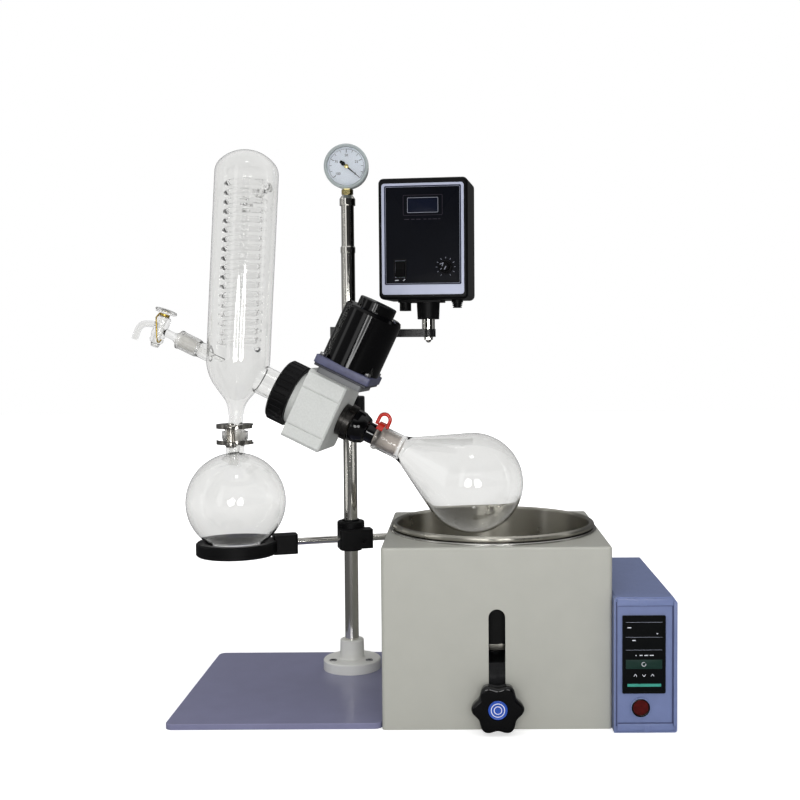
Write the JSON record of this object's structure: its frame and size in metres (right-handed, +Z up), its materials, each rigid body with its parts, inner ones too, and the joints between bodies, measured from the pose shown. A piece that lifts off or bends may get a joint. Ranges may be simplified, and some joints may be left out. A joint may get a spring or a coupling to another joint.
{
  "type": "rotary evaporator",
  "caption": "Bench rotary evaporator: a sloped motor head on a column turns a pear flask over a round heating bath and feeds an upright coil condenser and a round receiving flask.",
  "frame": {"origin": "on the column's axis, at the underside of the base plate", "axes": "+X to the right as seen from the front, +Y to the back, +Z up the column"},
  "size_m": [0.6958, 0.34, 0.7345],
  "materials": {
    "base_paint": "satin",
    "flange_paint": "satin",
    "bright_steel": "satin",
    "chrome": "polished",
    "brass": "satin",
    "gauge_steel": "satin",
    "dial_white": "matte",
    "black_needle": "satin",
    "clear_glass": "polished",
    "black_casting": "satin",
    "black_case": "satin",
    "label_silver": "satin",
    "board": "matte",
    "black_gloss": "gloss",
    "sand_cast": "sand textured",
    "flange_plate": "satin",
    "motor_paint": "gloss",
    "hard_steel": "ground",
    "bronze": "cut",
    "black_plastic": "matte",
    "red_plastic": "satin",
    "seal_rubber": "matte",
    "bath_paint": "satin",
    "stainless": "brushed",
    "insulation": "matte",
    "violet_paint": "satin",
    "display_black": "satin",
    "red_lamp": "gloss"
  },
  "bodies": {
    "stand": {"base_plate": "base_paint", "column_flange": "flange_paint", "flange_screws": "bright_steel", "column": "chrome", "column_upper_tube": "chrome", "column_cap": "chrome", "gauge_fitting": "brass", "gauge_case": "gauge_steel", "gauge_dial": "dial_white", "gauge_lens": "clear_glass", "bath_case": "bath_paint", "bath_bottom": "bright_steel", "controller_case": "violet_paint", "controller_front": "violet_paint", "controller_display": "display_black"},
    "gauge_needle": {"gauge_pointer": "black_needle"},
    "arm": {"arm": "black_casting", "box_pin": "chrome"},
    "control_box": {"box_socket": "black_plastic", "control_case": "black_case", "control_cover": "black_case", "control_label": "label_silver", "control_board": "board", "fuse_and_gland": "black_plastic"},
    "power_rocker": {"power_switch": "black_gloss"},
    "speed_dial": {"speed_knob": "black_plastic"},
    "head_carriage": {"head_sleeve": "black_plastic"},
    "head_swing": {"head_clamp": "black_casting"},
    "clamp_screw": {"clamp_knob": "black_plastic"},
    "head": {"head_housing": "sand_cast", "motor_flange": "flange_plate", "motor_body": "motor_paint", "bearing_outer_races": "hard_steel", "vacuum_seal": "seal_rubber", "condenser_jacket": "clear_glass", "cooling_coil": "clear_glass", "stopcock_body": "clear_glass", "ball_joint_clamp": "chrome", "receiving_flask": "clear_glass"},
    "motor_shaft": {"worm": "hard_steel"},
    "rotor": {"spindle": "hard_steel", "worm_wheel": "bronze", "bearing_inner_races": "hard_steel", "spindle_collar": "bright_steel", "flask_nut": "black_plastic", "flask_clip": "red_plastic", "vapour_duct": "clear_glass", "evaporating_flask": "clear_glass"},
    "union_nut": {"coupling_nut": "black_plastic"},
    "feed_plug": {"stopcock_plug": "clear_glass"},
    "support_carriage": {"support_sleeve": "black_plastic"},
    "support": {"cross_boss": "black_plastic", "support_rod": "chrome", "support_ring": "black_plastic"},
    "pot": {"bath_pot": "stainless", "pot_jacket": "insulation", "heater_element": "hard_steel", "lift_carriage": "bright_steel"},
    "lift_grip": {"lift_knob": "black_gloss"},
    "bath_rocker": {"heater_switch": "red_lamp"}
  },
  "joints": [
    {"name": "head_lift", "type": "slide", "parent": "stand", "child": "head_carriage", "axis": [0, 0, 1], "range_m": [0, 0.065]},
    {"name": "head_swivel", "type": "hinge", "parent": "head_carriage", "child": "head_swing", "pos_m": [0, 0, 0.367], "axis": [0, 0, 1], "range_deg": [-8, 20]},
    {"name": "clamp_knob_turn", "type": "hinge", "parent": "head_swing", "child": "clamp_screw", "pos_m": [-0.02875, 0.00379, 0.367], "axis": [0.1305, 0.9914, 0], "range_deg": [0, 180]},
    {"name": "head_tilt", "type": "hinge", "parent": "head_swing", "child": "head", "pos_m": [-0.01078, -0.08189, 0.367], "axis": [0.1305, 0.9914, 0], "range_deg": [0, 12]},
    {"name": "flask_spin", "type": "hinge", "parent": "head", "child": "rotor", "pos_m": [-0.01078, -0.08189, 0.367], "axis": [-0.8941, 0.1177, 0.4321], "continuous": true},
    {"name": "motor_turn", "type": "hinge", "parent": "head", "child": "motor_shaft", "pos_m": [-0.0178, -0.10619, 0.36881], "axis": [0.4284, -0.0564, 0.9018], "continuous": true},
    {"name": "coupling_nut_turn", "type": "hinge", "parent": "head", "child": "union_nut", "pos_m": [-0.07337, -0.07365, 0.39725], "axis": [-0.8941, 0.1177, 0.4321], "range_deg": [0, 270]},
    {"name": "stopcock_turn", "type": "hinge", "parent": "head", "child": "feed_plug", "pos_m": [-0.24817, -0.05064, 0.48172], "axis": [0.3488, -0.0459, 0.9361], "continuous": true},
    {"name": "support_lift", "type": "slide", "parent": "stand", "child": "support_carriage", "axis": [0, 0, 1], "range_m": [-0.1, 0]},
    {"name": "support_swivel", "type": "hinge", "parent": "support_carriage", "child": "support", "pos_m": [0, 0, 0.193], "axis": [0, 0, 1], "range_deg": [-8, 20]},
    {"name": "arm_swivel", "type": "hinge", "parent": "stand", "child": "arm", "pos_m": [0, 0, 0.476], "axis": [0, 0, 1], "range_deg": [-20, 45]},
    {"name": "box_swivel", "type": "hinge", "parent": "arm", "child": "control_box", "pos_m": [0.1105, 0, 0.511], "axis": [0, 0, 1], "range_deg": [-90, 90]},
    {"name": "power_switch_rock", "type": "hinge", "parent": "control_box", "child": "power_rocker", "pos_m": [0.07437, -0.03431, 0.5615], "axis": [0.9903, -0.1392, 0], "range_deg": [0, 12]},
    {"name": "speed_knob_turn", "type": "hinge", "parent": "control_box", "child": "speed_dial", "pos_m": [0.13569, -0.04494, 0.5638], "axis": [-0.1392, -0.9903, 0], "range_deg": [-270, 0]},
    {"name": "gauge_needle_turn", "type": "hinge", "parent": "stand", "child": "gauge_needle", "pos_m": [0, -0.01, 0.704], "axis": [0, -1, 0], "range_deg": [0, 260], "stiffness_Nm_per_rad": 0.0005},
    {"name": "pot_lift", "type": "slide", "parent": "stand", "child": "pot", "axis": [0, 0, 1], "range_m": [0, 0.06]},
    {"name": "lift_knob_turn", "type": "hinge", "parent": "pot", "child": "lift_grip", "pos_m": [0.196, -0.246, 0.0315], "axis": [0, -1, 0], "range_deg": [0, 180]},
    {"name": "heater_switch_rock", "type": "hinge", "parent": "stand", "child": "bath_rocker", "pos_m": [0.3648, -0.2492, 0.03], "axis": [-1, 0, 0], "range_deg": [0, 10]}
  ],
  "couplings": [
    {"joint": "motor_turn", "follows": "flask_spin", "ratio": -9},
    {"joint": "support_swivel", "follows": "head_swivel", "ratio": 1}
  ]
}
